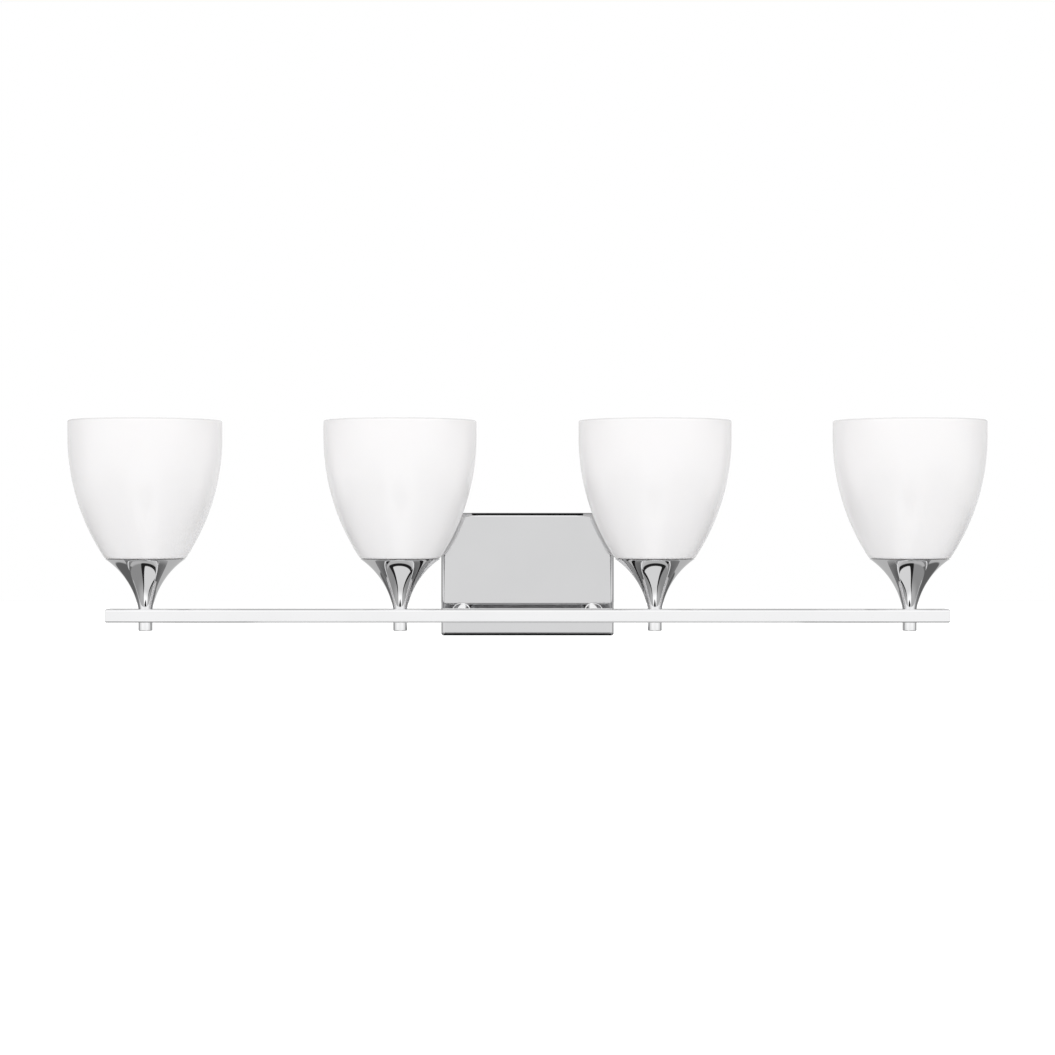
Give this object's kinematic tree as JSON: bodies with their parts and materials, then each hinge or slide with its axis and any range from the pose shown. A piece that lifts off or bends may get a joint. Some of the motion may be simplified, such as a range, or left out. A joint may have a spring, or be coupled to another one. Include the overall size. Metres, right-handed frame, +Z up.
{
  "type": "vanity light bar",
  "caption": "Wall light: opal glass shades open upward on trumpet holders, which stand on a slim bar held by arms off a rectangular backplate.",
  "frame": {"origin": "centre of the mounting bracket's back face, on the wall behind the backplate's centre", "axes": "+X along the bar to the viewer's right, +Y into the wall, +Z up"},
  "size_m": [0.871, 0.1725, 0.2089],
  "materials": {
    "chrome_plate": "polished chrome plating on steel",
    "zinc_steel": "zinc-plated steel, dull",
    "opal_glass": "opal white glass, glossy outside",
    "white_ring": "white moulded plastic",
    "porcelain": "white glazed porcelain",
    "brass_shell": "plain brass",
    "bulb_cap_metal": "satin aluminium",
    "bulb_frost": "frosted white glass",
    "clear_rubber": "translucent silicone rubber",
    "black_insulation": "wire insulation",
    "white_insulation": "wire insulation",
    "orange_plastic": "moulded plastic",
    "green_steel": "green-coated steel",
    "bare_copper": "bare copper"
  },
  "bodies": {
    "root": {"backplate": "chrome_plate", "arm_left": "chrome_plate", "arm_right": "chrome_plate", "arm_flange_left": "chrome_plate", "arm_flange_right": "chrome_plate", "bar_tube": "chrome_plate", "bar_end_cap_left": "chrome_plate", "bar_end_cap_right": "chrome_plate", "backplate_screws": "chrome_plate", "mounting_bracket": "zinc_steel", "arm_nipples": "zinc_steel", "arm_nuts": "zinc_steel", "stem_nipples": "zinc_steel", "stem_nuts": "zinc_steel", "socket_bushings": "zinc_steel", "pin_cap_outer_left": "chrome_plate", "shade_holder_outer_left": "chrome_plate", "shade_seat_outer_left": "zinc_steel", "socket_body_outer_left": "porcelain", "screw_shell_outer_left": "brass_shell", "pin_cap_inner_left": "chrome_plate", "shade_holder_inner_left": "chrome_plate", "shade_seat_inner_left": "zinc_steel", "socket_body_inner_left": "porcelain", "screw_shell_inner_left": "brass_shell", "pin_cap_inner_right": "chrome_plate", "shade_holder_inner_right": "chrome_plate", "shade_seat_inner_right": "zinc_steel", "socket_body_inner_right": "porcelain", "screw_shell_inner_right": "brass_shell", "pin_cap_outer_right": "chrome_plate", "shade_holder_outer_right": "chrome_plate", "shade_seat_outer_right": "zinc_steel", "socket_body_outer_right": "porcelain", "screw_shell_outer_right": "brass_shell", "shade_gaskets": "clear_rubber", "centre_contacts": "brass_shell", "hot_leads": "black_insulation", "neutral_leads": "white_insulation", "wire_nuts": "orange_plastic", "ground_screw": "green_steel", "ground_wire": "bare_copper"},
    "shade_outer_left": {"glass_shade_outer_left": "opal_glass"},
    "ring_outer_left": {"shade_ring_outer_left": "white_ring"},
    "bulb_outer_left": {"bulb_glass_outer_left": "bulb_frost", "bulb_base_outer_left": "bulb_cap_metal"},
    "shade_inner_left": {"glass_shade_inner_left": "opal_glass"},
    "ring_inner_left": {"shade_ring_inner_left": "white_ring"},
    "bulb_inner_left": {"bulb_glass_inner_left": "bulb_frost", "bulb_base_inner_left": "bulb_cap_metal"},
    "shade_inner_right": {"glass_shade_inner_right": "opal_glass"},
    "ring_inner_right": {"shade_ring_inner_right": "white_ring"},
    "bulb_inner_right": {"bulb_glass_inner_right": "bulb_frost", "bulb_base_inner_right": "bulb_cap_metal"},
    "shade_outer_right": {"glass_shade_outer_right": "opal_glass"},
    "ring_outer_right": {"shade_ring_outer_right": "white_ring"},
    "bulb_outer_right": {"bulb_glass_outer_right": "bulb_frost", "bulb_base_outer_right": "bulb_cap_metal"}
  },
  "joints": [
    {"name": "shade_lift_outer_left", "type": "slide", "parent": "root", "child": "shade_outer_left", "axis": [0, 0, 1], "range_m": [0, 0.06]},
    {"name": "ring_turn_outer_left", "type": "hinge", "parent": "shade_outer_left", "child": "ring_outer_left", "pos_m": [-0.363, -0.1, 0.0244], "axis": [0, 0, 1], "continuous": true},
    {"name": "bulb_lift_outer_left", "type": "slide", "parent": "shade_outer_left", "child": "bulb_outer_left", "axis": [0, 0, 1], "range_m": [0, 0.15]},
    {"name": "shade_lift_inner_left", "type": "slide", "parent": "root", "child": "shade_inner_left", "axis": [0, 0, 1], "range_m": [0, 0.06]},
    {"name": "ring_turn_inner_left", "type": "hinge", "parent": "shade_inner_left", "child": "ring_inner_left", "pos_m": [-0.121, -0.1, 0.0244], "axis": [0, 0, 1], "continuous": true},
    {"name": "bulb_lift_inner_left", "type": "slide", "parent": "shade_inner_left", "child": "bulb_inner_left", "axis": [0, 0, 1], "range_m": [0, 0.15]},
    {"name": "shade_lift_inner_right", "type": "slide", "parent": "root", "child": "shade_inner_right", "axis": [0, 0, 1], "range_m": [0, 0.06]},
    {"name": "ring_turn_inner_right", "type": "hinge", "parent": "shade_inner_right", "child": "ring_inner_right", "pos_m": [0.121, -0.1, 0.0244], "axis": [0, 0, 1], "continuous": true},
    {"name": "bulb_lift_inner_right", "type": "slide", "parent": "shade_inner_right", "child": "bulb_inner_right", "axis": [0, 0, 1], "range_m": [0, 0.15]},
    {"name": "shade_lift_outer_right", "type": "slide", "parent": "root", "child": "shade_outer_right", "axis": [0, 0, 1], "range_m": [0, 0.06]},
    {"name": "ring_turn_outer_right", "type": "hinge", "parent": "shade_outer_right", "child": "ring_outer_right", "pos_m": [0.363, -0.1, 0.0244], "axis": [0, 0, 1], "continuous": true},
    {"name": "bulb_lift_outer_right", "type": "slide", "parent": "shade_outer_right", "child": "bulb_outer_right", "axis": [0, 0, 1], "range_m": [0, 0.15]}
  ]
}
